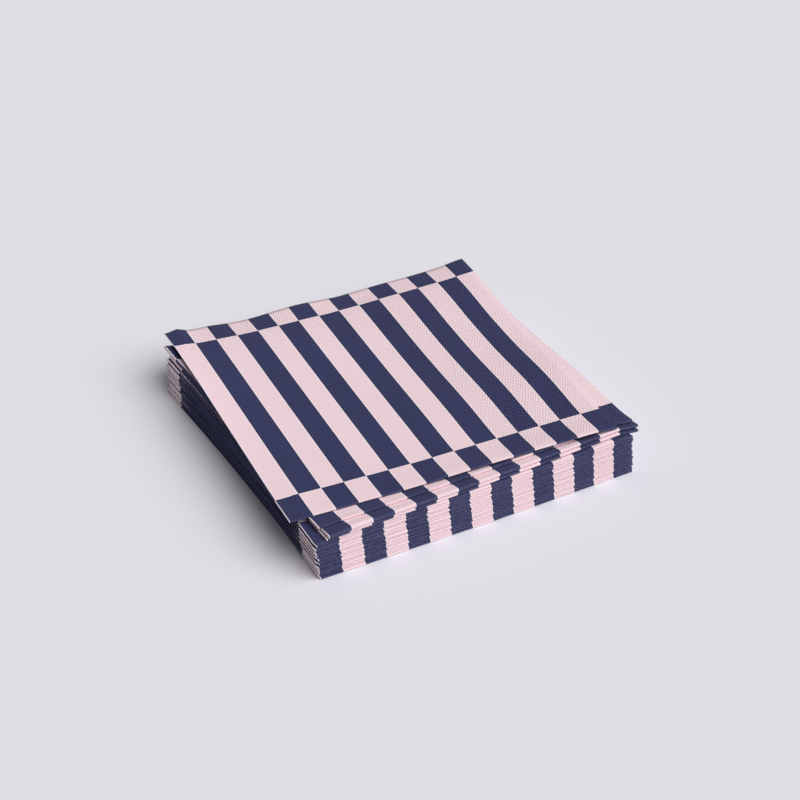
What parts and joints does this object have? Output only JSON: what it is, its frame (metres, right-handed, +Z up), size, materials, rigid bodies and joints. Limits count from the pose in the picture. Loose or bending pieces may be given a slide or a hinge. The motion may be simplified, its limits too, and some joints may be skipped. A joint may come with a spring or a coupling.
{
  "type": "stack of paper napkins",
  "caption": "Low square stack of folded paper napkins with printed stripes and a row of checks along two sides; the top ones have slid and turned.",
  "frame": {"origin": "middle of the stack's outline, with its overhanging top napkins, on the surface it rests on", "axes": "+Z up through the layers; the rounded main folds face -Y, the double folded edges face -X, the raw edges face +X and +Y"},
  "size_m": [0.1772, 0.182, 0.0244],
  "materials": {
    "napkin_tissue": "matt embossed tissue, printed with stripes on its outer side"
  },
  "bodies": {
    "root": {"napkin_01": "napkin_tissue", "napkin_02": "napkin_tissue", "napkin_03": "napkin_tissue", "napkin_04": "napkin_tissue", "napkin_05": "napkin_tissue", "napkin_06": "napkin_tissue", "napkin_07": "napkin_tissue", "napkin_08": "napkin_tissue", "napkin_09": "napkin_tissue", "napkin_10": "napkin_tissue", "napkin_11": "napkin_tissue", "napkin_12": "napkin_tissue", "napkin_13": "napkin_tissue", "napkin_14": "napkin_tissue", "napkin_15": "napkin_tissue", "napkin_16": "napkin_tissue", "napkin_17": "napkin_tissue", "napkin_18": "napkin_tissue", "napkin_19": "napkin_tissue", "napkin_20": "napkin_tissue"}
  },
  "joints": []
}
